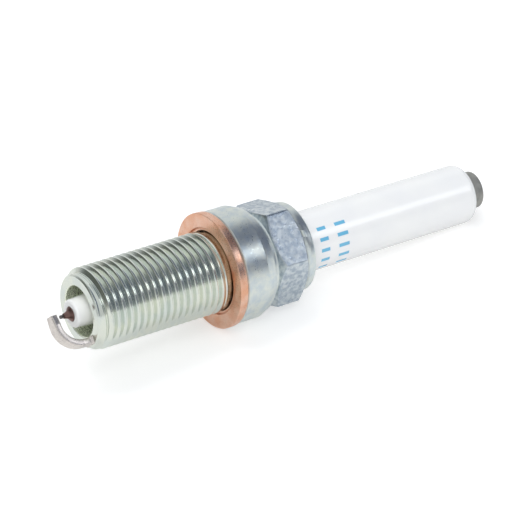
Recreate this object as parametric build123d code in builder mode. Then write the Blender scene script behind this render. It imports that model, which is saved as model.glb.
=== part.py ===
from build123d import *
import os
from math import cos, radians, sin, tan

# A spark plug lying on its side, in millimetres. The origin is the centre of the seat that the
# cylinder head clamps, -Y runs to the firing end, +Y to the terminal, and +Z is up. A round piece
# is a closed outline of (radius, station) points turned about Y, where a station is a place on Y.

# Thread: M14 x 1.25 with a 26.5 mm reach
thread_crest_radius = 6.95
thread_root_radius = 6.20
thread_crest_flat = 0.22
thread_flank_angle = 30.0
thread_lead_in_angle = 40.0
thread_pitch = 1.25
thread_reach = 26.5
neck_length = 2.8
neck_radius = 6.72
neck_fillet = 0.15
end_rim_radius = 5.92
end_rim_edge = 0.26
end_chamfer = 0.65

# Flange, wrench hexagon, shoulder and crimped lip
flange_radius = 9.65
flange_length = 4.15
flange_edge = 0.25
flange_back_radius = 8.95
flange_back_length = 1.75
groove_wall = 1.18
groove_start = 6.6
groove_width = 0.55
hex_across_flats = 16.0
hex_corner_round = 0.45
hex_end = 12.75
hex_chamfer_angle = 30.0
hex_angle = 17.35            # one corner's direction, from +Z towards +X
shoulder_wall = 2.29
shoulder_drop = 0.35
shoulder_length = 1.1
lip_round = 0.9
lip_edge = 0.2
lip_grip = 0.3               # how far the lip's underside dips below the packing ring's top
lip_underside_rise = 0.7

# Insulator
insulator_radius = 5.19
insulator_taper = 0.16       # how much slimmer it is at its end
insulator_end = 49.7
insulator_end_round = 1.55
collar_step = 1.26           # collar over the insulator's upper body
collar_start = 1.4
collar_end = 8.6
collar_taper = 0.9
body_radius = 4.75
nose_length = 17.1           # sealing shoulder to nose tip
nose_shoulder_taper = 1.0
nose_base_radius = 3.35
nose_tip_radius = 2.35
nose_projection = 1.6
nose_tip_round = 0.4
core_bore_radius = 2.0
core_bore_start = -5.2

# Shell bores and packings
shell_clearance = 0.12
firing_bore_radius = 4.3
firing_bore_edge = 0.15
ledge_radius = 3.85
ledge_length = 1.2
ledge_taper = 0.6
plate_packing_thickness = 0.35
packing_wire_radius = 0.42
lower_packing_offset = 0.25  # ring's centre above the collar's end
talc_end = 12.3

# Centre electrode and its fine wire tip
electrode_radius = 1.23
electrode_clearance = 0.05
electrode_head_clearance = 0.2
electrode_head_length = 1.3
electrode_copper_radius = 0.72
electrode_copper_setback = 2.0
electrode_projection = 1.65  # past the shell's end, as are the next two
electrode_neck_projection = 2.95
tip_projection = 3.6
electrode_neck_radius = 0.42
electrode_flank_bulge = 0.16
tip_radius = 0.3
tip_depth = 0.5

# Ground electrode
spark_gap = 0.8
strap_width = 2.6
strap_thickness = 1.1
strap_bend_radius = 4.2      # outside of the bend
strap_outside = 5.72         # outer face's distance from the axis at the shell
strap_overhang = 0.5         # how far the free end passes the axis
strap_end_width = 2.0
strap_taper_length = 1.6
strap_angle = 139.6          # direction of the welded foot, from +Z towards +X

# Seals, resistor and terminal stud, inside the insulator
fused_gap = 0.01             # between pieces that are fused, welded or cast together
lower_seal_end = 0.6
resistor_end = 12.0
upper_seal_end = 16.5
stud_clearance = 0.3
stud_anchor_start = 13.4
stud_anchor_clearance = 0.18
stud_ring_count = 6
stud_ring_pitch = 0.75
stud_ring_depth = 0.2
terminal_radius = 3.17
terminal_length = 2.3
terminal_round = 0.45

# Captive gasket, loose on the neck
gasket_radius = 9.85
gasket_thickness = 1.5
gasket_lip_radius = 6.84     # smaller than the thread's crests, so the gasket can't fall off
gasket_lip_thickness = 1.1
gasket_mouth_radius = 7.4
gasket_edge = 0.15
gasket_float = 0.12

cutter_margin = 1.0          # how far a cutting shape reaches past what it cuts

# Places that follow from the sizes above
insulator_end_radius = insulator_radius - insulator_taper
collar_radius = insulator_radius + collar_step
collar_bore_radius = collar_radius + shell_clearance
body_bore_radius = body_radius + shell_clearance
lip_mouth_radius = insulator_radius + shell_clearance
groove_radius = collar_bore_radius + groove_wall
groove_end = groove_start + groove_width
shoulder_radius = lip_mouth_radius + shoulder_wall
hex_corner_radius = hex_across_flats / 2 / cos(radians(30))
hex_slope = tan(radians(hex_chamfer_angle))
hex_back_radius = shoulder_radius + shoulder_drop
shoulder_end = hex_end + shoulder_length
lip_end = shoulder_end + lip_round
upper_packing_station = talc_end + packing_wire_radius
lower_packing_station = collar_end + lower_packing_offset
packing_ring_radius = insulator_radius + packing_wire_radius + fused_gap
lip_root = talc_end + 2 * packing_wire_radius - lip_grip
lip_underside = lip_root + lip_underside_rise
nose_tip = -thread_reach - nose_projection
nose_shoulder = nose_tip + nose_length
electrode_bore_radius = electrode_radius + electrode_clearance
electrode_head_radius = core_bore_radius - electrode_head_clearance
electrode_head_end = core_bore_start + electrode_head_length
electrode_copper_front = -thread_reach + electrode_copper_setback
electrode_shoulder = -thread_reach - electrode_projection
electrode_neck = -thread_reach - electrode_neck_projection
tip_end = -thread_reach - tip_projection
stud_radius = core_bore_radius - stud_clearance
stud_anchor_radius = core_bore_radius - stud_anchor_clearance
strap_rise = tip_projection + spark_gap + strap_thickness


def seat_station(radius):
    """Station of the insulator's sealing shoulder at a radius."""
    slope = nose_shoulder_taper / (body_radius - nose_base_radius)
    return nose_shoulder - (body_radius - radius) * slope


def around(angle):
    """Unit vector across the plug at an angle measured from +Z towards +X."""
    return Vector(sin(radians(angle)), 0, cos(radians(angle)))


def across(station):
    """Plane across the plug at a station, facing the terminal, with +X along +X."""
    return Plane(origin=(0, station, 0), x_dir=(1, 0, 0), z_dir=(0, 1, 0))


# --- Thread: one ring-shaped groove per turn, from the firing end to the neck ----------------
thread_depth = thread_crest_radius - thread_root_radius
thread_flank = thread_depth * tan(radians(thread_flank_angle))
end_chamfer_radius = end_rim_radius + end_rim_edge
lead_in_length = (thread_crest_radius - end_chamfer_radius) / tan(radians(thread_lead_in_angle))
thread_front = -thread_reach + end_chamfer + lead_in_length
thread_back = -neck_length - (thread_crest_radius - neck_radius)
thread_turns = int((thread_back - thread_front) / thread_pitch)

thread_outline = []
for turn in range(thread_turns):
    crest_start = thread_front + turn * thread_pitch
    thread_outline += [
        (thread_crest_radius, crest_start),
        (thread_crest_radius, crest_start + thread_crest_flat),
        (thread_root_radius, crest_start + thread_crest_flat + thread_flank),
        (thread_root_radius, crest_start + thread_pitch - thread_flank),
    ]
thread_outline.append((thread_crest_radius, thread_front + thread_turns * thread_pitch))

# --- Metal shell ---------------------------------------------------------------------------
hex_front_corner = groove_end + (hex_corner_radius - groove_radius) * hex_slope
hex_back_corner = hex_end - (hex_corner_radius - hex_back_radius) * hex_slope

with BuildPart() as metal_shell:
    with BuildSketch():
        with BuildLine():
            outside = Polyline(
                (firing_bore_radius + firing_bore_edge, -thread_reach),
                (end_rim_radius, -thread_reach),
                (end_chamfer_radius, -thread_reach + end_rim_edge),
                (end_chamfer_radius, -thread_reach + end_chamfer),
                *thread_outline,
                (thread_crest_radius, thread_back),
                (neck_radius, -neck_length),
                (neck_radius, -neck_fillet),
                (neck_radius + neck_fillet, 0),
                (flange_radius - flange_edge, 0),
                (flange_radius, flange_edge),
                (flange_radius, flange_length),
                (flange_back_radius, flange_length + flange_back_length),
                (groove_radius, groove_start),
                (groove_radius, groove_end),
                (hex_corner_radius, hex_front_corner),
                (hex_corner_radius, hex_back_corner),
                (hex_back_radius, hex_end),
                (shoulder_radius, shoulder_end),
            )
            lip = RadiusArc(outside @ 1, (shoulder_radius - lip_round, lip_end), -lip_round)
            Polyline(
                lip @ 1,
                (lip_mouth_radius + lip_edge, lip_end),
                (lip_mouth_radius, lip_end - lip_edge),
                (lip_mouth_radius, lip_underside),
                (collar_bore_radius, lip_root),
                (collar_bore_radius, collar_start - shell_clearance),
                (body_bore_radius, collar_start - collar_taper - shell_clearance),
                (body_bore_radius, seat_station(body_bore_radius) - plate_packing_thickness),
                (ledge_radius, seat_station(ledge_radius) - plate_packing_thickness),
                (ledge_radius, seat_station(ledge_radius) - ledge_length),
                (firing_bore_radius, seat_station(ledge_radius) - ledge_length - ledge_taper),
                (firing_bore_radius, -thread_reach + firing_bore_edge),
                outside @ 0,
            )
        make_face()
    revolve(axis=Axis.Y)
    flats_start = groove_start + groove_width / 2
    with BuildSketch(across(flats_start)):
        Circle(hex_corner_radius + cutter_margin)
        with BuildSketch(mode=Mode.PRIVATE) as hexagon:
            RegularPolygon(hex_corner_radius, 6, rotation=hex_angle - 90)
            fillet(hexagon.vertices(), hex_corner_round)
        add(hexagon.sketch, mode=Mode.SUBTRACT)
    extrude(amount=hex_end - flats_start + shoulder_drop, mode=Mode.SUBTRACT)
metal_shell.part.label = "metal_shell"

# --- Captive gasket ------------------------------------------------------------------------
gasket_back = -gasket_float
gasket_front = gasket_back - gasket_thickness

with BuildPart() as gasket:
    with BuildSketch():
        with BuildLine():
            Polyline(
                (gasket_lip_radius, gasket_back),
                (gasket_radius - gasket_edge, gasket_back),
                (gasket_radius, gasket_back - gasket_edge),
                (gasket_radius, gasket_front + gasket_edge),
                (gasket_radius - gasket_edge, gasket_front),
                (gasket_mouth_radius, gasket_front),
                (gasket_lip_radius, gasket_back - gasket_lip_thickness),
                close=True,
            )
        make_face()
    revolve(axis=Axis.Y)
gasket.part.label = "gasket"

# --- Ground electrode: a flat strap welded on the end face and bent over the tip ------------
strap_foot = around(strap_angle)
strap_side = Plane(origin=(0, -thread_reach, 0), x_dir=strap_foot, z_dir=strap_foot.cross(Vector(0, -1, 0)))
bend_start = strap_outside - strap_bend_radius
inner_bend_radius = strap_bend_radius - strap_thickness

with BuildPart() as ground_electrode:
    with BuildSketch(strap_side):
        with BuildLine():
            leg = Polyline(
                (strap_outside - strap_thickness, 0),
                (strap_outside, 0),
                (strap_outside, strap_rise - strap_bend_radius),
            )
            outer_bend = RadiusArc(leg @ 1, (bend_start, strap_rise), -strap_bend_radius)
            arm = Polyline(
                outer_bend @ 1,
                (-strap_overhang, strap_rise),
                (-strap_overhang, strap_rise - strap_thickness),
                (bend_start, strap_rise - strap_thickness),
            )
            inner_bend = RadiusArc(
                arm @ 1,
                (strap_outside - strap_thickness, strap_rise - strap_bend_radius),
                inner_bend_radius,
            )
            Line(inner_bend @ 1, leg @ 0)
        make_face()
    extrude(amount=strap_width / 2, both=True)
    free_end = Plane(origin=(0, -thread_reach - strap_rise, 0), x_dir=strap_foot, z_dir=(0, 1, 0))
    with BuildSketch(free_end) as end_taper:
        for side in (-1, 1):
            with BuildLine():
                Polyline(
                    (-strap_overhang + strap_taper_length, side * strap_width / 2),
                    (-strap_overhang, side * strap_end_width / 2),
                    (-strap_overhang - cutter_margin, side * strap_end_width / 2),
                    (-strap_overhang - cutter_margin, side * strap_width),
                    (-strap_overhang + strap_taper_length, side * strap_width),
                    close=True,
                )
            make_face()
    extrude(amount=strap_thickness, mode=Mode.SUBTRACT)
ground_electrode.part.label = "ground_electrode"

# --- Insulator -----------------------------------------------------------------------------
with BuildPart() as insulator:
    with BuildSketch():
        with BuildLine():
            nose = Polyline(
                (electrode_bore_radius, nose_tip),
                (nose_tip_radius - nose_tip_round, nose_tip),
            )
            tip_round = RadiusArc(nose @ 1, (nose_tip_radius, nose_tip + nose_tip_round), -nose_tip_round)
            flank = Polyline(
                tip_round @ 1,
                (nose_base_radius, seat_station(nose_base_radius)),
                (body_radius, nose_shoulder),
                (body_radius, collar_start - collar_taper),
                (collar_radius, collar_start),
                (collar_radius, collar_end - collar_taper),
                (insulator_radius, collar_end),
                (insulator_end_radius, insulator_end - insulator_end_round),
            )
            rounded_end = RadiusArc(
                flank @ 1,
                (insulator_end_radius - insulator_end_round, insulator_end),
                -insulator_end_round,
            )
            Polyline(
                rounded_end @ 1,
                (core_bore_radius, insulator_end),
                (core_bore_radius, core_bore_start),
                (electrode_bore_radius, core_bore_start),
                nose @ 0,
            )
        make_face()
    revolve(axis=Axis.Y)
insulator.part.label = "insulator"

# --- Packings between the insulator and the shell --------------------------------------------
packing_inner = ledge_radius + fused_gap
packing_outer = body_radius - fused_gap

with BuildPart() as plate_packing:
    with BuildSketch():
        with BuildLine():
            Polyline(
                (packing_inner, seat_station(packing_inner)),
                (packing_outer, seat_station(packing_outer)),
                (packing_outer, seat_station(packing_outer) - plate_packing_thickness),
                (packing_inner, seat_station(packing_inner) - plate_packing_thickness),
                close=True,
            )
        make_face()
    revolve(axis=Axis.Y)
plate_packing.part.label = "plate_packing"

with BuildPart() as lower_packing_ring:
    with BuildSketch():
        with Locations((packing_ring_radius, lower_packing_station)):
            Circle(packing_wire_radius)
    revolve(axis=Axis.Y)
lower_packing_ring.part.label = "lower_packing_ring"

with BuildPart() as upper_packing_ring:
    with BuildSketch():
        with Locations((packing_ring_radius, upper_packing_station)):
            Circle(packing_wire_radius)
    revolve(axis=Axis.Y)
upper_packing_ring.part.label = "upper_packing_ring"

talc_start = lower_packing_station + packing_wire_radius
with BuildPart() as talc_filling:
    with BuildSketch(across(talc_start)):
        Circle(collar_bore_radius - fused_gap)
        Circle(insulator_radius + fused_gap, mode=Mode.SUBTRACT)
    extrude(amount=talc_end - talc_start)
talc_filling.part.label = "talc_filling"

# --- Centre electrode: nickel sheath, copper core and fine wire tip ---------------------------
tip_back = electrode_neck + tip_depth

with BuildPart() as center_electrode:
    with BuildSketch():
        with BuildLine():
            flank_foot = Vector(electrode_radius, electrode_shoulder)
            flank_top = Vector(electrode_neck_radius, electrode_neck)
            SagittaArc(flank_foot, flank_top, electrode_flank_bulge)
            Polyline(
                flank_top,
                (tip_radius + fused_gap, electrode_neck),
                (tip_radius + fused_gap, tip_back),
                (0, tip_back),
                (0, electrode_copper_front - electrode_copper_radius),
                (electrode_copper_radius, electrode_copper_front),
                (electrode_copper_radius, electrode_head_end),
                (electrode_head_radius, electrode_head_end),
                (electrode_head_radius, core_bore_start),
                (electrode_radius, core_bore_start),
                flank_foot,
            )
        make_face()
    revolve(axis=Axis.Y)
center_electrode.part.label = "center_electrode"

core_radius = electrode_copper_radius - fused_gap
with BuildPart() as center_electrode_core:
    with BuildSketch():
        with BuildLine():
            Polyline(
                (0, electrode_copper_front - core_radius),
                (core_radius, electrode_copper_front),
                (core_radius, electrode_head_end),
                (0, electrode_head_end),
                close=True,
            )
        make_face()
    revolve(axis=Axis.Y)
center_electrode_core.part.label = "center_electrode_core"

with BuildPart() as electrode_tip:
    with BuildSketch(across(tip_end)):
        Circle(tip_radius)
    extrude(amount=tip_back - tip_end)
electrode_tip.part.label = "electrode_tip"

# --- Glass seals and resistor -------------------------------------------------------------
fill_radius = core_bore_radius - fused_gap

with BuildPart() as lower_glass_seal:
    with BuildSketch():
        with BuildLine():
            Polyline(
                (0, electrode_head_end + fused_gap),
                (electrode_head_radius + fused_gap, electrode_head_end + fused_gap),
                (electrode_head_radius + fused_gap, core_bore_start + fused_gap),
                (fill_radius, core_bore_start + fused_gap),
                (fill_radius, lower_seal_end),
                (0, lower_seal_end),
                close=True,
            )
        make_face()
    revolve(axis=Axis.Y)
lower_glass_seal.part.label = "lower_glass_seal"

with BuildPart() as resistor:
    with BuildSketch(across(lower_seal_end)):
        Circle(fill_radius)
    extrude(amount=resistor_end - lower_seal_end)
resistor.part.label = "resistor"

with BuildPart() as upper_glass_seal:
    with BuildSketch():
        with BuildLine():
            Polyline(
                (0, resistor_end),
                (fill_radius, resistor_end),
                (fill_radius, upper_seal_end),
                (stud_anchor_radius + fused_gap, upper_seal_end),
                (stud_anchor_radius + fused_gap, stud_anchor_start),
                (0, stud_anchor_start),
                close=True,
            )
        make_face()
    revolve(axis=Axis.Y)
upper_glass_seal.part.label = "upper_glass_seal"

# --- Terminal stud: grooved anchor, shank and solid contact head --------------------------
stud_anchor_end = stud_anchor_start + stud_ring_count * stud_ring_pitch + stud_ring_pitch / 2
terminal_end = insulator_end + terminal_length

with BuildPart() as terminal_stud:
    with BuildSketch():
        with BuildLine():
            head = Polyline(
                (0, stud_anchor_start),
                (stud_anchor_radius, stud_anchor_start),
                (stud_anchor_radius, stud_anchor_end),
                (stud_radius, stud_anchor_end),
                (stud_radius, insulator_end),
                (terminal_radius, insulator_end),
                (terminal_radius, terminal_end - terminal_round),
            )
            edge = RadiusArc(head @ 1, (terminal_radius - terminal_round, terminal_end), -terminal_round)
            Polyline(edge @ 1, (0, terminal_end), (0, stud_anchor_start))
        make_face()
        for ring in range(stud_ring_count):
            with Locations((stud_anchor_radius, stud_anchor_start + (ring + 0.75) * stud_ring_pitch)):
                Rectangle(2 * stud_ring_depth, stud_ring_pitch / 2, mode=Mode.SUBTRACT)
    revolve(axis=Axis.Y)
terminal_stud.part.label = "terminal_stud"

# --- Write one STEP file per piece ----------------------------------------------------------
pieces = [
    metal_shell,
    gasket,
    ground_electrode,
    insulator,
    plate_packing,
    lower_packing_ring,
    upper_packing_ring,
    talc_filling,
    center_electrode,
    center_electrode_core,
    electrode_tip,
    lower_glass_seal,
    resistor,
    upper_glass_seal,
    terminal_stud,
]
os.makedirs("parts", exist_ok=True)
for piece in pieces:
    export_step(piece.part, "parts/" + piece.part.label + ".step")
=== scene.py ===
"""Visual model of a long-reach spark plug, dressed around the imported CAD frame.

Sizes are in millimetres and become metres when a mesh is made. A station is a place along the
plug's axis, Y: the seat is at 0, the firing end lies towards -Y and the terminal towards +Y.
Angles around the plug are in degrees, measured from +Z towards +X.
"""
from __future__ import annotations

import logging
from dataclasses import dataclass
from enum import Enum
from math import ceil, cos, exp, pi, radians, sin, tan

import bmesh
import bpy
import numpy as np
from mathutils import Matrix, Vector


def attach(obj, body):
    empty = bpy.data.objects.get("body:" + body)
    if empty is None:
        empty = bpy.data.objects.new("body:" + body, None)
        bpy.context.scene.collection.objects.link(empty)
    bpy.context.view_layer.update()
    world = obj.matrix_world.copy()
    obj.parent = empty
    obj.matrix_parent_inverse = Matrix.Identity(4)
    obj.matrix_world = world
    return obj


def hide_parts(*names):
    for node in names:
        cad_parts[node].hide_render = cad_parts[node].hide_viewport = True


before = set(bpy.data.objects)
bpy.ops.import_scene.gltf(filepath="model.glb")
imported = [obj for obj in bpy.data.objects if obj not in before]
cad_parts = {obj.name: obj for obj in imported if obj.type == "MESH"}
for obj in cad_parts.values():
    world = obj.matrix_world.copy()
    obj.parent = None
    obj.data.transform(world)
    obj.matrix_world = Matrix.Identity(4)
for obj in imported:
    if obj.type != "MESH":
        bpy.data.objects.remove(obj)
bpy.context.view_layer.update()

MM = 0.001
BODY_PLUG = "plug"
BODY_GASKET = "gasket"

# Half of a hexagon's sector, between a corner and the middle of a flat.
HALF_SECTOR = radians(30)

log = logging.getLogger("spark_plug")


# ---------------------------------------------------------------------------------------------
# Directions and outlines
# ---------------------------------------------------------------------------------------------
def direction(azimuth: float, elevation: float) -> Vector:
    """Unit vector towards an azimuth (0 is -Y, 90 is +X) and an elevation.

    Args:
        azimuth: Degrees around +Z.
        elevation: Degrees above the XY plane.

    Returns:
        The direction.
    """
    a, e = radians(azimuth), radians(elevation)
    return Vector((sin(a) * cos(e), -cos(a) * cos(e), sin(e)))


def around(angle: float) -> Vector:
    """Unit vector across the plug at an angle from +Z towards +X."""
    return Vector((sin(radians(angle)), 0.0, cos(radians(angle))))


@dataclass(frozen=True)
class Corner:
    """One corner of a turned outline, in millimetres, with the radius that rounds it."""

    radius: float
    station: float
    rounding: float = 0.0


def rounded(corners: list[Corner], closed: bool = False, steps: int = 5) -> np.ndarray:
    """Points of an outline whose corners are rounded by arcs.

    Args:
        corners: The outline's corners in order.
        closed: Whether the last corner joins the first.
        steps: Segments in each arc.

    Returns:
        An array of (radius, station) points.
    """
    places = [np.array((c.radius, c.station)) for c in corners]
    points: list[np.ndarray] = []
    for i, corner in enumerate(corners):
        here = places[i]
        at_end = not closed and i in (0, len(corners) - 1)
        if at_end or corner.rounding <= 0:
            points.append(here)
            continue
        before, after = places[i - 1] - here, places[(i + 1) % len(places)] - here
        long_before, long_after = np.linalg.norm(before), np.linalg.norm(after)
        a, b = before / long_before, after / long_after
        half = np.arccos(np.clip(a @ b, -1.0, 1.0)) / 2
        trim = min(corner.rounding / tan(half), 0.48 * long_before, 0.48 * long_after)
        arc_radius = trim * tan(half)
        middle = (a + b) / np.linalg.norm(a + b)
        centre = here + middle * arc_radius / sin(half)
        start, end = here + a * trim - centre, here + b * trim - centre
        sweep = pi - 2 * half
        for step in range(steps + 1):
            t = step / steps
            weight_start, weight_end = sin((1 - t) * sweep) / sin(sweep), sin(t * sweep) / sin(sweep)
            points.append(centre + start * weight_start + end * weight_end)
    return np.array(points)


# ---------------------------------------------------------------------------------------------
# Meshes
# ---------------------------------------------------------------------------------------------
@dataclass
class RingRows:
    """Rows of points round the axis: every row has one radius and one station per column."""

    angles: np.ndarray
    radii: list[np.ndarray]
    stations: list[np.ndarray]

    @classmethod
    def even(cls, columns: int) -> RingRows:
        """Rows with evenly spaced columns, the last one on top of the first."""
        return cls(np.linspace(0.0, 360.0, columns + 1), [], [])

    def add(self, radius: float | np.ndarray, station: float | np.ndarray) -> None:
        """Add a row.

        Args:
            radius: One radius, or one for each column.
            station: One station, or one for each column.
        """
        full = np.ones_like(self.angles)
        self.radii.append(full * radius)
        self.stations.append(full * station)

    def add_outline(self, points: np.ndarray) -> None:
        """Add one plain round row for each (radius, station) point."""
        for radius, station in points:
            self.add(radius, station)

    def add_bend(self, start: tuple, corner: tuple, end: tuple, steps: int = 4) -> None:
        """Add rows that turn a crease into a small curve.

        Args:
            start: (radius, station) per column where the curve begins.
            corner: (radius, station) per column of the sharp crease.
            end: (radius, station) per column where the curve ends.
            steps: Segments in the curve.
        """
        for step in range(steps + 1):
            t = step / steps
            weights = ((1 - t) ** 2, 2 * t * (1 - t), t**2)
            self.add(*(sum(w * p[k] for w, p in zip(weights, (start, corner, end))) for k in (0, 1)))

    def mesh(self, name: str, closed: bool) -> bpy.types.Object:
        """Make the object.

        Args:
            name: The piece's name.
            closed: Whether the last row joins the first one.

        Returns:
            The new object, in metres.
        """
        radii, stations = np.array(self.radii), np.array(self.stations)
        turn = np.radians(self.angles)
        places = np.stack((radii * np.sin(turn), stations, radii * np.cos(turn)), axis=-1) * MM
        rows, columns = radii.shape
        faces = []
        for row in range(rows if closed else rows - 1):
            low, high = row * columns, (row + 1) % rows * columns
            faces += [(low + c, low + c + 1, high + c + 1, high + c) for c in range(columns - 1)]
        return mesh_object(name, places.reshape(-1, 3).tolist(), faces)


def mesh_object(name: str, places: list, faces: list, weld: float = 0.0004) -> bpy.types.Object:
    """Make a welded, smooth-shaded mesh object.

    Args:
        name: The piece's name.
        places: Vertex places in metres.
        faces: Vertex indices of each face.
        weld: Vertices closer than this, in millimetres, become one.

    Returns:
        The object, linked to the scene.
    """
    mesh = bpy.data.meshes.new(name)
    mesh.from_pydata(places, [], faces)
    work = bmesh.new()
    work.from_mesh(mesh)
    bmesh.ops.remove_doubles(work, verts=work.verts, dist=weld * MM)
    bmesh.ops.dissolve_degenerate(work, edges=work.edges, dist=weld * MM)
    bmesh.ops.recalc_face_normals(work, faces=work.faces)
    work.to_mesh(mesh)
    work.free()
    mesh.shade_smooth()
    piece = bpy.data.objects.new(name, mesh)
    bpy.context.collection.objects.link(piece)
    normals = piece.modifiers.new("even_shading", "WEIGHTED_NORMAL")
    normals.weight = 60
    return piece


def turned(name: str, corners: list[Corner], columns: int = 160, steps: int = 5) -> bpy.types.Object:
    """Make a turned piece from a closed outline.

    Args:
        name: The piece's name.
        corners: Corners of the outline; it closes on itself.
        columns: Faces round the axis.
        steps: Segments in each rounded corner.

    Returns:
        The new object.
    """
    rows = RingRows.even(columns)
    rows.add_outline(rounded(corners, closed=True, steps=steps))
    return rows.mesh(name, closed=True)


# ---------------------------------------------------------------------------------------------
# Finishes
# ---------------------------------------------------------------------------------------------
Colour = tuple[float, float, float]

# Ranges that most of a noise's values lie in.
NOISE = (0.3, 0.7)
SOFT_NOISE = (0.32, 0.68)
CLOSE_NOISE = (0.35, 0.65)

# How much of a metal's uneven roughness comes from its turned marks; the rest is from its pits.
MARK_SHARE = 0.4


class Shading:
    """One node material, put together a node at a time round a Principled shader."""

    def __init__(self, name: str, **constants: object) -> None:
        """Start the material.

        Args:
            name: The material's name.
            constants: Values for the shader's own sockets, underscores standing for spaces.
        """
        self.material = bpy.data.materials.new(name)
        self.material.use_nodes = True
        self.tree = self.material.node_tree
        self.shader = self.tree.nodes["Principled BSDF"]
        for socket, value in constants.items():
            self.shader.inputs[socket.replace("_", " ")].default_value = value
        self.place = self.node("ShaderNodeTexCoord").outputs["Object"]

    def node(self, kind: str, inputs: dict | None = None, **settings: object) -> bpy.types.Node:
        """Add a node.

        Args:
            kind: The node's type.
            inputs: Values or sockets for its inputs, by name or number.
            settings: Attributes of the node.

        Returns:
            The node.
        """
        new = self.tree.nodes.new(kind)
        for key, value in settings.items():
            setattr(new, key, value)
        for key, value in (inputs or {}).items():
            if isinstance(value, bpy.types.NodeSocket):
                self.tree.links.new(value, new.inputs[key])
            else:
                new.inputs[key].default_value = value
        return new

    def math(self, operation: str, *values: object) -> bpy.types.NodeSocket:
        """Result of a Math node."""
        return self.node("ShaderNodeMath", dict(enumerate(values)), operation=operation).outputs[0]

    def vector(self, operation: str, *values: object) -> bpy.types.Node:
        """A Vector Math node."""
        return self.node("ShaderNodeVectorMath", dict(enumerate(values)), operation=operation)

    def noise(
        self, size: float, detail: float = 3.0, place: bpy.types.NodeSocket | None = None
    ) -> bpy.types.NodeSocket:
        """Noise whose features are about a size across.

        Args:
            size: Feature size in millimetres.
            detail: Octaves of detail.
            place: Where it is read; the object's own place if left out.

        Returns:
            The noise value, 0 to 1.
        """
        inputs = {"Vector": place or self.place, "Scale": 1 / (size * MM), "Detail": detail}
        return self.node("ShaderNodeTexNoise", inputs).outputs["Fac"]

    def span(
        self, value: object, low: float, high: float, to_low: float = 0.0, to_high: float = 1.0
    ) -> bpy.types.NodeSocket:
        """A value mapped from one range smoothly to another."""
        inputs = {"Value": value, "From Min": low, "From Max": high, "To Min": to_low, "To Max": to_high}
        return self.node("ShaderNodeMapRange", inputs, interpolation_type="SMOOTHSTEP").outputs[0]

    def blend(self, factor: object, first: object, second: object) -> bpy.types.NodeSocket:
        """A colour between two colours.

        Args:
            factor: 0 gives the first, 1 the second.
            first: A colour or a socket.
            second: A colour or a socket.

        Returns:
            The mixed colour.
        """
        mix = self.node("ShaderNodeMix", data_type="RGBA")
        for socket, value in ((0, factor), (6, first), (7, second)):
            if isinstance(value, bpy.types.NodeSocket):
                self.tree.links.new(value, mix.inputs[socket])
            else:
                mix.inputs[socket].default_value = (*value, 1.0) if socket else value
        return mix.outputs[2]

    def ring_place(self) -> bpy.types.NodeSocket:
        """A place that is the same all the way round the plug.

        Returns:
            A vector of the radius and the station.
        """
        parts = self.node("ShaderNodeSeparateXYZ", {0: self.place}).outputs
        flat = self.node("ShaderNodeCombineXYZ", {0: parts[0], 1: parts[2]}).outputs[0]
        radius = self.vector("LENGTH", flat).outputs["Value"]
        return self.node("ShaderNodeCombineXYZ", {0: radius, 1: parts[1]}).outputs[0]

    def bump(self, heights: list[tuple[object, float]]) -> None:
        """Stack bumps on the shader.

        Args:
            heights: (height from 0 to 1, its depth in millimetres) for each layer.
        """
        normal = None
        for height, depth in heights:
            inputs = {"Height": height, "Distance": depth * MM, "Strength": 1.0}
            if normal is not None:
                inputs["Normal"] = normal
            normal = self.node("ShaderNodeBump", inputs).outputs[0]
        self.feed("Normal", normal)

    def feed(self, socket: str, value: bpy.types.NodeSocket) -> None:
        """Connect a value to one of the shader's sockets."""
        self.tree.links.new(value, self.shader.inputs[socket])


@dataclass(frozen=True)
class MetalFinish:
    """A bare or plated metal with turned marks, blotches and fine pits.

    Sizes are in millimetres. The tints are the metal's darkest and lightest patches.
    """

    name: str
    dark: Colour
    light: Colour
    roughness: tuple[float, float]
    blotch: float
    mark: float
    mark_depth: float
    pit: float
    pit_depth: float
    metallic: float = 1.0

    def material(self) -> bpy.types.Material:
        """Make the material.

        Returns:
            The material.
        """
        shading = Shading(self.name, Metallic=self.metallic)
        rings = shading.ring_place()
        blotches = shading.noise(self.blotch, 4.0)
        marks = shading.noise(self.mark, 2.0, rings)
        pits = shading.noise(self.pit, 3.0)
        tint = shading.span(blotches, *SOFT_NOISE)
        shading.feed("Base Color", shading.blend(tint, self.dark, self.light))
        marks_part = shading.math("MULTIPLY", marks, MARK_SHARE)
        pits_part = shading.math("MULTIPLY", pits, 1 - MARK_SHARE)
        uneven = shading.math("ADD", marks_part, pits_part)
        shading.feed("Roughness", shading.span(uneven, *NOISE, *self.roughness))
        shading.bump([(marks, self.mark_depth), (pits, self.pit_depth)])
        return shading.material


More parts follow.
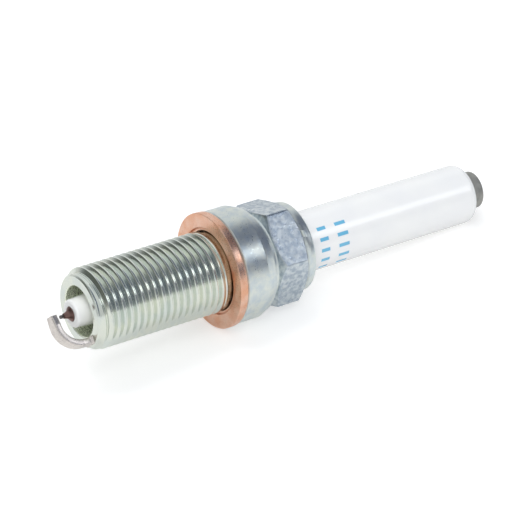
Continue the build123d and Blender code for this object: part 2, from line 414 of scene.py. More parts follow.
@dataclass(frozen=True)
class HeatTintedTip:
    """Nickel alloy electrode, browned by a fire-up, darkest at its point."""

    name: str = "heat_tinted_electrode"
    base: Colour = (0.22, 0.135, 0.12)
    point: Colour = (0.05, 0.035, 0.035)
    shank: Colour = (0.55, 0.50, 0.47)
    roughness: tuple[float, float] = (0.28, 0.45)
    tinted: tuple[float, float] = (-27.9, -27.5)
    darkest: tuple[float, float] = (-29.7, -29.0)
    cloud: float = 0.35
    drift: float = 0.4
    grain: float = 0.06
    grain_depth: float = 0.003

    def material(self) -> bpy.types.Material:
        """Make the material.

        Returns:
            The material.
        """
        shading = Shading(self.name, Metallic=1.0)
        station = shading.node("ShaderNodeSeparateXYZ", {0: shading.place}).outputs[1]
        cloud = shading.noise(self.cloud, 3.0)
        drifted = shading.math("ADD", station, shading.math("MULTIPLY", cloud, self.drift * MM))
        browned = shading.span(drifted, self.tinted[0] * MM, self.tinted[1] * MM, 1.0, 0.0)
        dark = shading.span(drifted, self.darkest[0] * MM, self.darkest[1] * MM, 1.0, 0.0)
        colour = shading.blend(browned, self.shank, self.base)
        shading.feed("Base Color", shading.blend(dark, colour, self.point))
        shading.feed("Roughness", shading.span(cloud, *NOISE, *self.roughness))
        shading.bump([(shading.noise(self.grain, 2.0), self.grain_depth)])
        return shading.material


@dataclass(frozen=True)
class Glaze:
    """White glazed ceramic printed with rings of plain bars that spell nothing.

    The rings are (middle station, half length). Lengths are in millimetres and angles in degrees.
    """

    name: str = "white_glaze"
    body: Colour = (0.95, 0.95, 0.935)
    shade: Colour = (0.92, 0.922, 0.92)
    ink: Colour = (0.16, 0.50, 0.74)
    rings: tuple[tuple[float, float], ...] = ((18.2, 0.9), (21.9, 1.1))
    print_middle: float = 85.0
    print_half: float = 52.0
    bar_pitch: float = 20.8
    bar_width: float = 6.0
    blur: float = 0.12
    side_blur: float = 1.0
    roughness: tuple[float, float] = (0.16, 0.24)
    cloud: float = 6.0
    smear: float = 1.5
    wave: float = 3.0
    wave_depth: float = 0.006

    def printed(self, shading: Shading) -> bpy.types.NodeSocket:
        """Where the ink lies.

        Args:
            shading: The material being put together.

        Returns:
            1 on a bar, 0 beside it.
        """
        parts = shading.node("ShaderNodeSeparateXYZ", {0: shading.place}).outputs
        station = shading.math("MULTIPLY", parts[1], 1 / MM)
        angle = shading.math("DEGREES", shading.math("ARCTAN2", parts[0], parts[2]))
        off_middle = shading.math("SUBTRACT", angle, self.print_middle)
        off_print = shading.math("ABSOLUTE", off_middle)
        printed = shading.span(off_print, self.print_half, self.print_half + self.side_blur, 1.0, 0.0)
        half_pitch, half_bar = self.bar_pitch / 2, self.bar_width / 2
        off_bar = shading.math("ABSOLUTE", shading.math("WRAP", off_middle, half_pitch, -half_pitch))
        bar = shading.span(off_bar, half_bar, half_bar + self.side_blur, 1.0, 0.0)
        ring = 0.0
        for middle, half in self.rings:
            off_ring = shading.math("ABSOLUTE", shading.math("SUBTRACT", station, middle))
            inside = shading.span(off_ring, half - self.blur, half, 1.0, 0.0)
            ring = shading.math("MAXIMUM", ring, inside)
        return shading.math("MULTIPLY", ring, shading.math("MULTIPLY", bar, printed))

    def material(self) -> bpy.types.Material:
        """Make the material.

        Returns:
            The material.
        """
        shading = Shading(self.name, Coat_Weight=0.5, Coat_Roughness=0.06, IOR=1.5)
        cloud = shading.span(shading.noise(self.cloud, 2.0), *NOISE)
        glaze = shading.blend(cloud, self.shade, self.body)
        shading.feed("Base Color", shading.blend(self.printed(shading), glaze, self.ink))
        smear = shading.noise(self.smear, 3.0)
        shading.feed("Roughness", shading.span(smear, *NOISE, *self.roughness))
        shading.bump([(shading.noise(self.wave, 2.0), self.wave_depth)])
        return shading.material


@dataclass(frozen=True)
class Grainy:
    """A dull packed or cast material with a visible grain."""

    name: str
    dark: Colour
    light: Colour
    roughness: tuple[float, float]
    grain: float
    grain_depth: float = 0.01

    def material(self) -> bpy.types.Material:
        """Make the material.

        Returns:
            The material.
        """
        shading = Shading(self.name, Metallic=0.0)
        grain = shading.noise(self.grain, 4.0)
        tint = shading.span(grain, *CLOSE_NOISE)
        shading.feed("Base Color", shading.blend(tint, self.dark, self.light))
        shading.feed("Roughness", shading.span(grain, *NOISE, *self.roughness))
        shading.bump([(grain, self.grain_depth)])
        return shading.material


@dataclass(frozen=True)
class StudioFloor:
    """White sheet under the plug, lit from below so that its shadow stays faint."""

    name: str = "backlit_white_sheet"
    colour: Colour = (0.66, 0.66, 0.66)
    glow: float = 0.24
    seen_glow: float = 0.26
    fibre: float = 40.0

    def material(self) -> bpy.types.Material:
        """Make the material.

        Returns:
            The material.
        """
        shading = Shading(
            self.name, Roughness=0.9, Specular_IOR_Level=0.0, Emission_Color=(1.0, 1.0, 0.99, 1.0))
        fibre = shading.noise(self.fibre, 2.0)
        lighter = tuple(c + 0.01 for c in self.colour)
        shading.feed("Base Color", shading.blend(fibre, self.colour, lighter))
        seen = shading.node("ShaderNodeLightPath").outputs["Is Camera Ray"]
        extra = shading.math("MULTIPLY", seen, self.seen_glow)
        shading.feed("Emission Strength", shading.math("ADD", extra, self.glow))
        return shading.material


class Finish(Enum):
    """Every finish on the plug."""

    ZINC = MetalFinish(
        "zinc_plate", (0.72, 0.77, 0.72), (0.80, 0.83, 0.74), (0.12, 0.22),
        blotch=3.0, mark=0.18, mark_depth=0.0015, pit=0.25, pit_depth=0.002)
    ROUGH_ZINC = MetalFinish(
        "zinc_plate_on_turned_flange", (0.64, 0.71, 0.73), (0.78, 0.82, 0.77), (0.26, 0.42),
        blotch=1.4, mark=0.2, mark_depth=0.003, pit=0.3, pit_depth=0.014)
    FORGED_ZINC = MetalFinish(
        "zinc_plate_on_forged_flats", (0.41, 0.48, 0.55), (0.70, 0.75, 0.77), (0.26, 0.38),
        blotch=0.8, mark=0.6, mark_depth=0.0, pit=0.4, pit_depth=0.022)
    # Olive plate tint inside the bore, partly real: its colour is made much lighter and partly diffuse
    # so that the recess looks lit, painted light standing for the white nose reflected in the bore.
    BORE_ZINC_PAINTED_LIGHT = MetalFinish(
        "zinc_plate_in_bore_with_painted_light", (0.80, 0.86, 0.68), (0.90, 0.94, 0.80), (0.22, 0.34),
        blotch=1.5, mark=0.2, mark_depth=0.002, pit=0.2, pit_depth=0.004, metallic=0.7)
    COPPER = MetalFinish(
        "soft_copper", (0.84, 0.45, 0.29), (0.90, 0.58, 0.44), (0.24, 0.38),
        blotch=2.0, mark=0.16, mark_depth=0.006, pit=0.2, pit_depth=0.003)
    STRAP = MetalFinish(
        "nickel_strap", (0.66, 0.61, 0.57), (0.78, 0.72, 0.67), (0.24, 0.36),
        blotch=1.2, mark=0.3, mark_depth=0.0, pit=0.12, pit_depth=0.001, metallic=0.92)
    SATIN = MetalFinish(
        "satin_nickel", (0.29, 0.29, 0.27), (0.37, 0.365, 0.335), (0.42, 0.56),
        blotch=1.2, mark=0.12, mark_depth=0.003, pit=0.15, pit_depth=0.003, metallic=0.55)
    IRIDIUM = MetalFinish(
        "fine_wire", (0.16, 0.14, 0.14), (0.26, 0.24, 0.24), (0.3, 0.4),
        blotch=0.3, mark=0.1, mark_depth=0.0, pit=0.05, pit_depth=0.002)
    STEEL = MetalFinish(
        "packing_steel", (0.42, 0.42, 0.42), (0.55, 0.55, 0.54), (0.3, 0.45),
        blotch=1.0, mark=0.1, mark_depth=0.003, pit=0.1, pit_depth=0.003)
    CORE = MetalFinish(
        "copper_core", (0.72, 0.40, 0.28), (0.84, 0.50, 0.37), (0.3, 0.45),
        blotch=0.8, mark=0.1, mark_depth=0.003, pit=0.1, pit_depth=0.003)
    TINTED = HeatTintedTip()
    GLAZE = Glaze()
    TALC = Grainy("pressed_talc", (0.72, 0.71, 0.67), (0.85, 0.84, 0.80), (0.7, 0.95), 0.15)
    SEAL = Grainy("metal_filled_glass", (0.06, 0.06, 0.06), (0.20, 0.19, 0.18), (0.25, 0.6), 0.12)
    RESISTOR = Grainy("carbon_and_ceramic", (0.02, 0.02, 0.02), (0.09, 0.09, 0.09), (0.5, 0.9), 0.1)
    FLOOR = StudioFloor()


class Paintbox:
    """Makes each finish's material once and hands it out."""

    def __init__(self) -> None:
        """Start with no materials made."""
        self.made: dict[Finish, bpy.types.Material] = {}

    def material(self, finish: Finish) -> bpy.types.Material:
        """The material of a finish, made when it is first asked for.

        Args:
            finish: The finish.

        Returns:
            Its material.
        """
        if finish not in self.made:
            self.made[finish] = finish.value.material()
        return self.made[finish]

    def dress(self, piece: bpy.types.Object, *finishes: Finish) -> None:
        """Give a new piece its materials, one slot for each finish."""
        for finish in finishes:
            piece.data.materials.append(self.material(finish))

    def dress_node(self, node: str, finish: Finish) -> None:
        """Give a CAD node a material in each of its slots."""
        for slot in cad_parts[node].material_slots:
            slot.material = self.material(finish)


def stand_for(piece: bpy.types.Object, node: str, body: str) -> None:
    """Let a piece take a CAD node's place.

    Args:
        piece: The new piece.
        node: The CAD node that it replaces.
        body: The body that it rides on.
    """
    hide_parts(node)
    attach(piece, body)
    log.info("%s replaces %s: %d faces", piece.name, node, len(piece.data.polygons))


# ---------------------------------------------------------------------------------------------
# Sub-assemblies
# ---------------------------------------------------------------------------------------------
@dataclass
class Thread:
    """Right-handed helical thread that runs out on the end chamfer and on the neck."""

    crest_radius: float = 6.95
    root_radius: float = 6.20
    crest_flat: float = 0.22
    flank_angle: float = 30.0
    pitch: float = 1.25
    start_angle: float = 0.0
    crest_round: float = 0.07
    root_round: float = 0.12
    lead_in_angle: float = 40.0
    fade_length: float = 0.6
    step_length: float = 0.25
    front: tuple[float, float] = (6.18, -25.85)
    back: tuple[float, float] = (6.72, -2.15)

    def profile(self) -> np.ndarray:
        """One turn's outline.

        Returns:
            (Radius, offset along the axis) points from root to root.
        """
        crest = self.crest_flat / 2
        foot = crest + (self.crest_radius - self.root_radius) * tan(radians(self.flank_angle))
        corners = [
            Corner(self.root_radius, -self.pitch / 2),
            Corner(self.root_radius, -foot, self.root_round),
            Corner(self.crest_radius, -crest, self.crest_round),
            Corner(self.crest_radius, crest, self.crest_round),
            Corner(self.root_radius, foot, self.root_round),
            Corner(self.root_radius, self.pitch / 2),
        ]
        return rounded(corners, steps=3)[:-1]

    def add_rows(self, rows: RingRows) -> None:
        """Add the thread's rows, sheared into a helix and trimmed at both ends.

        Args:
            rows: The rows to extend; the next row after these is the neck.
        """
        front_radius, front = self.front
        back_radius, back = self.back
        slope = 1 / tan(radians(self.lead_in_angle))
        lead = self.pitch * (rows.angles - self.start_angle) / 360.0
        turns = ceil((back - front) / self.pitch) + 2
        for turn in range(-2, turns):
            for radius, offset in self.profile():
                station = np.clip(front + turn * self.pitch + lead + offset, front, back)
                lead_in = front_radius + (station - front) / slope
                fade = np.clip((back - self.step_length - station) / self.fade_length, 0.0, 1.0)
                cut = self.crest_radius - (self.crest_radius - radius) * fade
                rise = np.clip((back - station) / self.step_length, 0.0, 1.0)
                cut = back_radius + (cut - back_radius) * rise**2 * (3 - 2 * rise)
                rows.add(np.minimum(cut, lead_in), station)


@dataclass
class Hexagon:
    """Rounded wrench hexagon whose chamfers cut curved edges on its flats."""

    across_flats: float = 16.0
    corner_round: float = 0.45
    corner_angle: float = 17.35
    chamfer_angle: float = 30.0
    crease: float = 0.09
    start: tuple[float, float] = (7.75, 7.15)
    end: tuple[float, float] = (7.95, 12.75)
    corner_spread: float = 1.9
    corner_columns: int = 8
    side_columns: int = 38
    chamfer_shares: tuple[float, ...] = (0.0, 0.08, 0.5)
    flat_shares: tuple[float, ...] = (0.15, 0.5, 0.85)

    def columns(self) -> np.ndarray:
        """Where the shell's columns stand, close together at the hexagon's corners.

        Returns:
            Column angles over a full turn, the last one on top of the first.
        """
        spread = self.corner_spread
        corner = np.linspace(-spread, spread, self.corner_columns)
        side = np.linspace(spread, 60.0 - spread, self.side_columns)[1:-1]
        sector = np.concatenate((corner, side))
        angles = np.concatenate([sector + 60.0 * k for k in range(6)])
        return self.corner_angle + np.append(angles, angles[0] + 360.0)

    def radius(self, angles: np.ndarray) -> np.ndarray:
        """The hexagon's outline.

        Args:
            angles: Angles round the axis.

        Returns:
            The outline's distance from the axis at each angle.
        """
        off = np.radians(np.abs((angles - self.corner_angle + 30.0) % 60.0 - 30.0))
        inner = self.across_flats / 2
        centre = (inner - self.corner_round) / cos(HALF_SECTOR)
        touch = np.arctan2(self.corner_round / 2, centre + self.corner_round * cos(HALF_SECTOR))
        flat = inner / np.cos(HALF_SECTOR - off)
        arc = centre * np.cos(off) + np.sqrt(
            np.maximum(self.corner_round**2 - (centre * np.sin(off)) ** 2, 0.0))
        return np.where(off < touch, arc, flat)

    def add_rows(self, rows: RingRows) -> None:
        """Add the front chamfer, the flats and the back chamfer.

        Args:
            rows: The rows to extend; the groove comes before these and the shoulder after.
        """
        slope = tan(radians(self.chamfer_angle))
        outline = self.radius(rows.angles)
        chamfers = []
        for (radius, station), way in ((self.start, 1), (self.end, -1)):
            edge = station + way * (outline - radius) * slope
            cone = (outline - self.crease * cos(HALF_SECTOR), edge - way * self.crease * slope)
            flat = (outline, edge + way * self.crease)
            chamfers.append((cone, (outline, edge), flat))
        (front_cone, front_edge, front_flat), (back_cone, back_edge, back_flat) = chamfers
        self.add_cone(rows, self.start, front_cone, self.chamfer_shares)
        rows.add_bend(front_cone, front_edge, front_flat)
        for share in self.flat_shares:
            rows.add(outline, front_flat[1] + share * (back_flat[1] - front_flat[1]))
        rows.add_bend(back_flat, back_edge, back_cone)
        self.add_cone(rows, self.end, back_cone, self.chamfer_shares[::-1])

    def add_cone(self, rows: RingRows, ring: tuple, cone: tuple, shares: tuple[float, ...]) -> None:
        """Add rows on a chamfer.

        Args:
            rows: The rows to extend.
            ring: (Radius, station) of the round ring where the chamfer meets its neighbour.
            cone: (Radius, station) per column of the chamfer's outer edge.
            shares: How far each row lies from the ring towards the edge.
        """
        for share in shares:
            rows.add(*(near + share * (far - near) for near, far in zip(ring, cone)))


@dataclass
class MetalShell:
    """Plated steel shell: thread, neck, flange, hexagon, shoulder, crimped lip and bores."""

    reach: float = 26.5
    bore: float = 4.3
    rim_radius: float = 5.92
    flange_radius: float = 9.65
    flange_length: float = 4.15
    flange_edge: float = 0.25
    flange_back: float = 8.95
    flange_back_length: float = 1.75
    groove_start: float = 6.6
    shoulder_radius: float = 7.6
    shoulder_end: float = 13.85
    lip_end: float = 14.75
    lip_mouth: float = 5.31
    lip_underside: tuple[float, float] = (12.84, 13.54)
    collar_bore: tuple[float, float] = (6.57, 1.28)
    body_bore: tuple[float, float] = (4.87, 0.38)
    ledge: tuple[float, float, float] = (3.85, -11.99, -12.84)
    ledge_outside: tuple[float, float] = (-11.26, -13.44)
    zones: tuple[Finish, ...] = (
        Finish.ZINC, Finish.ROUGH_ZINC, Finish.FORGED_ZINC, Finish.BORE_ZINC_PAINTED_LIGHT)
    rim_edge: float = 0.26
    bore_edge: float = 0.15
    first_row: float = 1.6

    def build(self, paint: Paintbox) -> bpy.types.Object:
        """Make the shell as one closed mesh and dress it.

        Args:
            paint: The materials.

        Returns:
            The shell.
        """
        thread, hexagon = Thread(), Hexagon()
        rows = RingRows(hexagon.columns(), [], [])
        rows.add_outline(rounded(self.firing_end(thread)))
        thread.add_rows(rows)
        rows.add_outline(rounded(self.neck_and_flange(thread, hexagon)))
        hexagon.add_rows(rows)
        rows.add_outline(rounded(self.shoulder_and_bores(hexagon))[1:])
        shell = rows.mesh("shell_body", closed=True)
        paint.dress(shell, *self.zones)
        self.mark_zones(shell, hexagon)
        stand_for(shell, "metal_shell", BODY_PLUG)
        return shell

    def firing_end(self, thread: Thread) -> list[Corner]:
        """End face and its rim, from inside the bore to the thread.

        Args:
            thread: The thread that follows.

        Returns:
            The outline's corners.
        """
        radius, station = thread.front
        return [
            Corner(self.bore, -self.reach + self.first_row),
            Corner(self.bore, -self.reach + self.bore_edge, 0.06),
            Corner(self.bore + self.bore_edge, -self.reach, 0.06),
            Corner(self.rim_radius, -self.reach, 0.05),
            Corner(radius, -self.reach + self.rim_edge, 0.06),
            Corner(radius, station),
        ]

    def neck_and_flange(self, thread: Thread, hexagon: Hexagon) -> list[Corner]:
        """Neck, seat, flange, its curved back and the groove before the hexagon.

        Args:
            thread: The thread that ends on the neck.
            hexagon: The hexagon that follows.

        Returns:
            The outline's corners.
        """
        neck, neck_start = thread.back
        groove, groove_end = hexagon.start
        return [
            Corner(neck, neck_start),
            Corner(neck, 0.0, 0.12),
            Corner(self.flange_radius - self.flange_edge, 0.0, 0.08),
            Corner(self.flange_radius, self.flange_edge, 0.08),
            Corner(self.flange_radius, self.flange_length, 0.12),
            Corner(self.flange_back + 0.37, self.flange_length + 0.8, 0.9),
            Corner(self.flange_back, self.flange_length + self.flange_back_length, 0.25),
            Corner(groove, self.groove_start, 0.12),
            Corner(groove, groove_end),
        ]

    def shoulder_and_bores(self, hexagon: Hexagon) -> list[Corner]:
        """Shoulder, crimped lip and everything inside, back to the firing bore.

        Args:
            hexagon: The hexagon that comes before.

        Returns:
            The outline's corners.
        """
        lip_low, lip_high = self.lip_underside
        collar, collar_floor = self.collar_bore
        body, body_start = self.body_bore
        ledge, ledge_top, ledge_bottom = self.ledge
        above_ledge, below_ledge = self.ledge_outside
        return [
            Corner(*hexagon.end),
            Corner(self.shoulder_radius, self.shoulder_end),
            Corner(self.shoulder_radius, self.lip_end, 0.85),
            Corner(self.lip_mouth, self.lip_end, 0.2),
            Corner(self.lip_mouth, lip_high),
            Corner(collar, lip_low),
            Corner(collar, collar_floor),
            Corner(body, body_start),
            Corner(body, above_ledge),
            Corner(ledge, ledge_top),
            Corner(ledge, ledge_bottom),
            Corner(self.bore, below_ledge),
        ]

    def mark_zones(self, shell: bpy.types.Object, hexagon: Hexagon) -> None:
        """Give the flange, the hexagon's flats and the bores their own material slots.

        Args:
            shell: The shell's object.
            hexagon: The hexagon, whose chamfers bound its flats.
        """
        low, high = hexagon.start[1] * MM, hexagon.end[1] * MM
        for face in shell.data.polygons:
            outward = face.normal.x * face.center.x + face.normal.z * face.center.z
            # Faces inside the bore get the lightened plate: painted light that stands for the nose's
            # reflection in the recess.
            if outward < 0 and face.center.xz.length < (self.bore + 0.1) * MM:
                zone = Finish.BORE_ZINC_PAINTED_LIGHT
            elif low < face.center.y < high:
                zone = Finish.FORGED_ZINC
            elif 0 < face.center.y:
                zone = Finish.ROUGH_ZINC
            else:
                zone = Finish.ZINC
            face.material_index = self.zones.index(zone)


@dataclass
class Gasket:
    """Soft copper washer that stays loose behind the thread."""

    radius: float = 9.85
    back: float = -0.12
    thickness: float = 1.5
    hole: float = 6.84
    mouth: float = 7.42
    lip_drop: float = 0.34
    lip_width: float = 0.40
    lip_depth: float = 0.25

    def build(self, paint: Paintbox) -> bpy.types.Object:
        """Make the washer, with a rolled lip inside its mouth, and dress it.

        Args:
            paint: The materials.

        Returns:
            The washer.
        """
        front = self.back - self.thickness
        lip = front + self.lip_drop
        washer = turned("copper_washer", [
            Corner(self.hole, self.back, 0.1),
            Corner(self.radius, self.back, 0.3),
            Corner(self.radius, front, 0.14),
            Corner(self.mouth, front, 0.12),
            Corner(self.mouth, lip + self.lip_depth),
            Corner(self.hole + self.lip_width, lip + self.lip_depth),
            Corner(self.hole + self.lip_width, lip, 0.18),
            Corner(self.hole, lip, 0.18),
        ], columns=240)
        paint.dress(washer, Finish.COPPER)
        stand_for(washer, "gasket", BODY_GASKET)
        return washer


@dataclass
class Insulator:
    """White ceramic insulator from the nose to the rounded terminal end."""

    upper_radius: float = 5.19
    end_radius: float = 5.03
    end: float = 49.7
    bore: float = 2.0
    nose_tip: float = -28.1
    nose_radius: float = 2.35
    nose_base: tuple[float, float] = (3.35, -12.0)
    body: tuple[float, float, float] = (4.75, -11.0, 0.5)
    collar: tuple[float, float, float] = (6.45, 1.4, 7.7)
    collar_taper_end: float = 8.6
    electrode_bore: float = 1.28
    step_in_bore: float = -5.2
    blend: float = 0.2

    def build(self, paint: Paintbox) -> bpy.types.Object:
        """Make the insulator and dress it.

        Args:
            paint: The materials.

        Returns:
            The insulator.
        """
        body, body_start, body_end = self.body
        collar, collar_start, collar_end = self.collar
        ceramic = turned("ceramic_insulator", [
            Corner(self.electrode_bore, self.nose_tip, 0.05),
            Corner(self.nose_radius, self.nose_tip, 0.45),
            Corner(*self.nose_base, self.blend),
            Corner(body, body_start, self.blend),
            Corner(body, body_end, self.blend),
            Corner(collar, collar_start, self.blend),
            Corner(collar, collar_end, self.blend),
            Corner(self.upper_radius, self.collar_taper_end, self.blend),
            Corner(self.end_radius, self.end, 1.55),
            Corner(self.bore, self.end, 0.05),
            Corner(self.bore, self.step_in_bore),
            Corner(self.electrode_bore, self.step_in_bore),
        ], columns=192, steps=10)
        paint.dress(ceramic, Finish.GLAZE)
        stand_for(ceramic, "insulator", BODY_PLUG)
        return ceramic


@dataclass
class CentreElectrode:
    """Nickel alloy electrode with a drawn-in cone, and the fine wire in its end."""

    radius: float = 1.23
    head_radius: float = 1.8
    head: tuple[float, float] = (-5.2, -3.9)
    cone_start: float = -28.15
    neck_radius: float = 0.42
    neck: float = -29.45
    flank_hollow: float = 0.27
    core_radius: float = 0.72
    core_front: float = -24.5
    wire_radius: float = 0.3
    wire_end: float = -30.1
    wire_depth: float = 0.5
    wire_clearance: float = 0.01

    def build(self, paint: Paintbox) -> list[bpy.types.Object]:
        """Make the electrode and its wire and dress them.

        Args:
            paint: The materials.

        Returns:
            The electrode and the wire.
        """
        socket_radius = self.wire_radius + self.wire_clearance
        middle_radius = (self.radius + self.neck_radius) / 2 - self.flank_hollow * 0.75
        middle_station = (self.cone_start + self.neck) / 2 + self.flank_hollow * 0.6
        electrode = turned("electrode_sheath", [
            Corner(0.0, self.neck + self.wire_depth),
            Corner(socket_radius, self.neck + self.wire_depth),
            Corner(socket_radius, self.neck, 0.02),
            Corner(self.neck_radius, self.neck, 0.05),
            Corner(middle_radius, middle_station, 1.6),
            Corner(self.radius, self.cone_start, 0.12),
            Corner(self.radius, self.head[0]),
            Corner(self.head_radius, self.head[0], 0.15),
            Corner(self.head_radius, self.head[1], 0.15),
            Corner(self.core_radius, self.head[1]),
            Corner(self.core_radius, self.core_front),
            Corner(0.0, self.core_front - self.core_radius),
        ], columns=96, steps=8)
        paint.dress(electrode, Finish.TINTED)
        stand_for(electrode, "center_electrode", BODY_PLUG)
        wire = turned("fine_wire_tip", [
            Corner(0.0, self.wire_end),
            Corner(self.wire_radius, self.wire_end, 0.06),
            Corner(self.wire_radius, self.neck + self.wire_depth),
            Corner(0.0, self.neck + self.wire_depth),
        ], columns=64)
        paint.dress(wire, Finish.IRIDIUM)
        stand_for(wire, "electrode_tip", BODY_PLUG)
        return [electrode, wire]


@dataclass
class GroundElectrode:
    """Flat nickel alloy strap, welded on the shell's end face and bent over the tip."""

    angle: float = 139.6
    reach: float = 26.5
    outside: float = 5.72
    thickness: float = 1.1
    width: float = 2.6
    end_width: float = 2.0
    taper: float = 1.6
    rise: float = 5.5
    bend_radius: float = 4.2
    overhang: float = 0.5
    edge: float = 0.24
    weld_flare: float = 0.35
    weld_height: float = 0.28
    end_insets: tuple[float, ...] = (0.06, 0.16, 0.4)
    foot_steps: int = 10
    bend_steps: int = 22
    arm_steps: int = 14

    def path(self) -> list[tuple[Vector, Vector, float]]:
        """The strap's centre line.

        Returns:
            For each section: its centre as (distance from the axis, height past the end face),
            its outward direction in the same terms, and the length run so far.
        """
        half = self.thickness / 2
        bend = self.bend_radius - half
        turn_height = self.rise - self.bend_radius
        turn_centre = Vector((self.outside - self.bend_radius, turn_height))
        sections = []
        for step in range(self.foot_steps):
            height = turn_height * step / self.foot_steps
            sections.append((Vector((self.outside - half, height)), Vector((1, 0)), height))
        for step in range(self.bend_steps + 1):
            turn = pi / 2 * step / self.bend_steps
            outward = Vector((cos(turn), sin(turn)))
            sections.append((turn_centre + outward * bend, outward, turn_height + bend * turn))
        length = turn_height + bend * pi / 2
        arm = turn_centre.x + self.overhang
        for step in range(1, self.arm_steps + 1):
            run = arm * step / self.arm_steps
            centre = Vector((turn_centre.x - run, self.rise - half))
            sections.append((centre, Vector((0, 1)), length + run))
        return sections

    def section(self, width: float, thickness: float, edge: float) -> list[tuple[float, float]]:
        """A rounded rectangle.

        Args:
            width: Its size across the strap.
            thickness: Its size through the strap.
            edge: The radius of its corners.

        Returns:
            (Across, outward) points.
        """
        points = []
        for x, y, start in ((1, 1, 0), (-1, 1, 90), (-1, -1, 180), (1, -1, 270)):
            centre = (x * (width / 2 - edge), y * (thickness / 2 - edge))
            for step in range(5):
                turn = radians(start + 90 * step / 4)
                points.append((centre[0] + edge * cos(turn), centre[1] + edge * sin(turn)))
        return points

    def build(self, paint: Paintbox) -> bpy.types.Object:
        """Make the strap, flared where it is welded on, and dress it.

        Args:
            paint: The materials.

        Returns:
            The strap.
        """
        foot = around(self.angle)
        side = foot.cross(Vector((0, -1, 0)))
        sections = self.path()
        total = sections[-1][2]
        places, rings = [], []
        for centre, outward, run in sections:
            left = total - run
            narrowing = max(0.0, 1 - left / self.taper)
            width = self.width - (self.width - self.end_width) * narrowing
            flare = self.weld_flare * exp(-((run / self.weld_height) ** 2))
            ring = self.section(width + 2 * flare, self.thickness + flare, self.edge)
            rings.append([self.place(foot, side, centre + outward * o, a) for a, o in ring])
        centre, outward, _ = sections[-1]
        for inset in self.end_insets:
            shrunk = self.section(self.end_width - 2 * inset, self.thickness - 2 * inset, self.edge / 2)
            rings.append([self.place(foot, side, centre + outward * o, a) for a, o in shrunk])
        for ring in rings:
            places += ring
        count = len(rings[0])
        faces = [tuple(range(count))[::-1], tuple(range(len(places) - count, len(places)))]
        for row in range(len(rings) - 1):
            low, high = row * count, (row + 1) * count
            for c in range(count):
                after = (c + 1) % count
                faces.append((low + c, low + after, high + after, high + c))
        strap = mesh_object("ground_strap", places, faces)
        paint.dress(strap, Finish.STRAP)
        stand_for(strap, "ground_electrode", BODY_PLUG)
        return strap

    def place(self, foot: Vector, side: Vector, centre: Vector, across: float) -> Vector:
        """A place on the strap in metres.

        Args:
            foot: Direction from the axis to the welded foot.
            side: Direction across the strap.
            centre: (Distance from the axis, height past the end face).
            across: Distance across the strap.

        Returns:
            The place.
        """
        forward = Vector((0, -1, 0))
        return (foot * centre.x + forward * (self.reach + centre.y) + side * across) * MM


@dataclass
class TerminalStud:
    """Contact head, shank and ringed anchor of the terminal stud."""

    head_radius: float = 3.17
    head: tuple[float, float] = (49.7, 52.0)
    shank_radius: float = 1.7
    anchor_radius: float = 1.82
    anchor_start: float = 13.4
    ring_pitch: float = 0.75
    ring_depth: float = 0.2
    rings: int = 6

    def build(self, paint: Paintbox) -> bpy.types.Object:
        """Make the stud and dress it.

        Args:
            paint: The materials.

        Returns:
            The stud.
        """
        corners = [Corner(0.0, self.anchor_start), Corner(self.anchor_radius, self.anchor_start, 0.1)]
        for ring in range(self.rings):
            middle = self.anchor_start + (ring + 0.75) * self.ring_pitch
            low, high = middle - self.ring_pitch / 4, middle + self.ring_pitch / 4
            inside = self.anchor_radius - self.ring_depth
            corners += [
                Corner(self.anchor_radius, low), Corner(inside, low),
                Corner(inside, high), Corner(self.anchor_radius, high),
            ]
        anchor_end = self.anchor_start + (self.rings + 0.5) * self.ring_pitch
        corners += [
            Corner(self.anchor_radius, anchor_end),
            Corner(self.shank_radius, anchor_end),
            Corner(self.shank_radius, self.head[0]),
            Corner(self.head_radius, self.head[0], 0.12),
            Corner(self.head_radius, self.head[1], 0.45),
            Corner(0.0, self.head[1]),
        ]
        stud = turned("contact_stud", corners, columns=128)
        paint.dress(stud, Finish.SATIN)
        stand_for(stud, "terminal_stud", BODY_PLUG)
        return stud


@dataclass
class InnerPieces:
    """The sealed pieces inside, which keep their CAD shapes."""

    finishes: tuple[tuple[str, Finish], ...] = (
        ("plate_packing", Finish.STEEL),
        ("lower_packing_ring", Finish.STEEL),
        ("upper_packing_ring", Finish.STEEL),
        ("talc_filling", Finish.TALC),
        ("center_electrode_core", Finish.CORE),
        ("lower_glass_seal", Finish.SEAL),
        ("resistor", Finish.RESISTOR),
        ("upper_glass_seal", Finish.SEAL),
    )

    def build(self, paint: Paintbox) -> None:
        """Dress each piece.

        Args:
            paint: The materials.
        """
        for node, finish in self.finishes:
            paint.dress_node(node, finish)
            log.info("%s keeps its shape, finish %s", node, finish.name)


# ---------------------------------------------------------------------------------------------
# Studio
# ---------------------------------------------------------------------------------------------
@dataclass(frozen=True)
class Lobe:
    """A soft-edged patch of light or dark in the surroundings, in degrees."""

    azimuth: float
    elevation: float
    inner: float
    outer: float
    radiance: Colour


@dataclass(frozen=True)
class Softbox:
    """A square area light that faces the plug but isn't mirrored in it, in metres and watts."""

    name: str
    azimuth: float
    elevation: float
    distance: float
    size: float
    power: float

    def build(self) -> None:
        """Make the light."""
        lamp = bpy.data.lights.new(self.name, "AREA")
        lamp.size = self.size
        lamp.energy = self.power
        holder = bpy.data.objects.new(self.name, lamp)
        holder.visible_glossy = False
        away = direction(self.azimuth, self.elevation)
        holder.location = away * self.distance
        holder.rotation_euler = away.to_track_quat("Z", "Y").to_euler()
        bpy.context.collection.objects.link(holder)


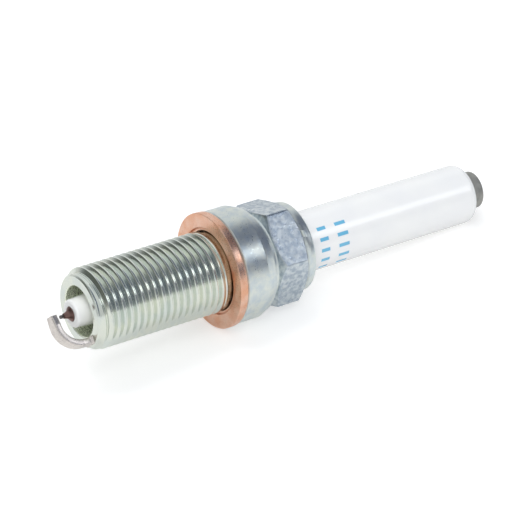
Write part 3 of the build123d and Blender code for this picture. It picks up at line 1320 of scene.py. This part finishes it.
@dataclass
class Studio:
    """White floor, soft light and the camera."""

    floor_tilt: float = 6.0
    flange_back: tuple[float, float] = (4.15, -9.65)
    floor_size: float = 3.0
    horizon: Colour = (0.60, 0.61, 0.62)
    zenith: Colour = (0.82, 0.85, 0.87)
    lobes: tuple[Lobe, ...] = (
        Lobe(-120, 5, 20, 55, (0.80, 0.81, 0.82)),
        Lobe(-25, 8, 25, 48, (0.12, 0.13, 0.12)),
        Lobe(150, 28, 43, 59, (0.13, 0.15, 0.21)),
        Lobe(129, 36, 5, 12.5, (2.35, 2.43, 2.55)),
    )
    softboxes: tuple[Softbox, ...] = (
        Softbox("top_softbox", -60, 72, 1.1, 0.5, 3.0),
        Softbox("front_softbox", 60, 40, 1.2, 0.8, 5.2),
    )
    azimuth: float = 56.66
    elevation: float = 28.3
    distance: float = 693.0
    lens: float = 286.8
    sensor: float = 36.0
    framing: tuple[float, float] = (7.81, 0.68)

    def build(self, paint: Paintbox) -> None:
        """Make the floor, the surroundings, the lights and the camera.

        Args:
            paint: The materials.
        """
        self.build_floor(paint)
        self.build_surroundings()
        for softbox in self.softboxes:
            softbox.build()
        self.build_camera()
        bpy.context.scene.view_settings.view_transform = "Standard"

    def build_floor(self, paint: Paintbox) -> None:
        """Make the floor that the plug rests on.

        Args:
            paint: The materials.
        """
        half = self.floor_size / 2
        corners = [(-half, -half, 0), (half, -half, 0), (half, half, 0), (-half, half, 0)]
        floor = mesh_object("studio_floor", corners, [(0, 1, 2, 3)])
        station, height = self.flange_back
        floor.location = Vector((0, station, height)) * MM
        floor.rotation_euler = (radians(self.floor_tilt), 0, 0)
        paint.dress(floor, Finish.FLOOR)

    def build_surroundings(self) -> None:
        """Make the world: a white sky with soft patches, plain white where the camera sees it."""
        world = bpy.data.worlds.new("studio")
        bpy.context.scene.world = world
        world.use_nodes = True
        tree = world.node_tree
        tree.nodes.clear()
        look = tree.nodes.new("ShaderNodeTexCoord").outputs["Generated"]
        parts = tree.nodes.new("ShaderNodeSeparateXYZ")
        tree.links.new(look, parts.inputs[0])
        colour = self.mixed(tree, parts.outputs[2], self.horizon, self.zenith)
        for lobe in self.lobes:
            toward = tree.nodes.new("ShaderNodeVectorMath")
            toward.operation = "DOT_PRODUCT"
            tree.links.new(look, toward.inputs[0])
            toward.inputs[1].default_value = direction(lobe.azimuth, lobe.elevation)
            inside = tree.nodes.new("ShaderNodeMapRange")
            inside.interpolation_type = "SMOOTHSTEP"
            tree.links.new(toward.outputs["Value"], inside.inputs["Value"])
            inside.inputs["From Min"].default_value = cos(radians(lobe.outer))
            inside.inputs["From Max"].default_value = cos(radians(lobe.inner))
            colour = self.mixed(tree, inside.outputs[0], colour, lobe.radiance)
        seen = tree.nodes.new("ShaderNodeLightPath").outputs["Is Camera Ray"]
        colour = self.mixed(tree, seen, colour, (1.0, 1.0, 1.0))
        background = tree.nodes.new("ShaderNodeBackground")
        tree.links.new(colour, background.inputs["Color"])
        output = tree.nodes.new("ShaderNodeOutputWorld")
        tree.links.new(background.outputs[0], output.inputs[0])

    @staticmethod
    def mixed(
        tree: bpy.types.NodeTree, factor: bpy.types.NodeSocket, first: object, second: object
    ) -> bpy.types.NodeSocket:
        """A colour between two colours or sockets.

        Args:
            tree: The node tree.
            factor: The socket that mixes them.
            first: Colour or socket at 0.
            second: Colour or socket at 1.

        Returns:
            The mixed colour.
        """
        mix = tree.nodes.new("ShaderNodeMix")
        mix.data_type = "RGBA"
        tree.links.new(factor, mix.inputs[0])
        for number, value in ((6, first), (7, second)):
            if isinstance(value, bpy.types.NodeSocket):
                tree.links.new(value, mix.inputs[number])
            else:
                mix.inputs[number].default_value = (*value, 1.0)
        return mix.outputs[2]

    def build_camera(self) -> None:
        """Make the camera, with no roll, no shift and no depth of field."""
        back = direction(self.azimuth, self.elevation)
        right = direction(self.azimuth + 90, 0)
        up = back.cross(right)
        lens = bpy.data.cameras.new("camera")
        lens.lens = self.lens
        lens.sensor_width = self.sensor
        camera = bpy.data.objects.new("camera", lens)
        turn = Matrix((right, up, back)).transposed()
        place = (back * self.distance + right * self.framing[0] + up * self.framing[1]) * MM
        camera.matrix_world = Matrix.Translation(place) @ turn.to_4x4()
        bpy.context.collection.objects.link(camera)
        bpy.context.scene.camera = camera


def main() -> None:
    """Build every sub-assembly in order, then the studio, and note the sizes."""
    logging.basicConfig(level=logging.INFO, format="%(message)s")
    paint = Paintbox()
    for sub_assembly in (
        MetalShell(),
        Gasket(),
        Insulator(),
        CentreElectrode(),
        GroundElectrode(),
        TerminalStud(),
        InnerPieces(),
    ):
        sub_assembly.build(paint)
        log.info("%s is built", type(sub_assembly).__name__)
    Studio().build(paint)


if __name__ == "__main__":
    main()
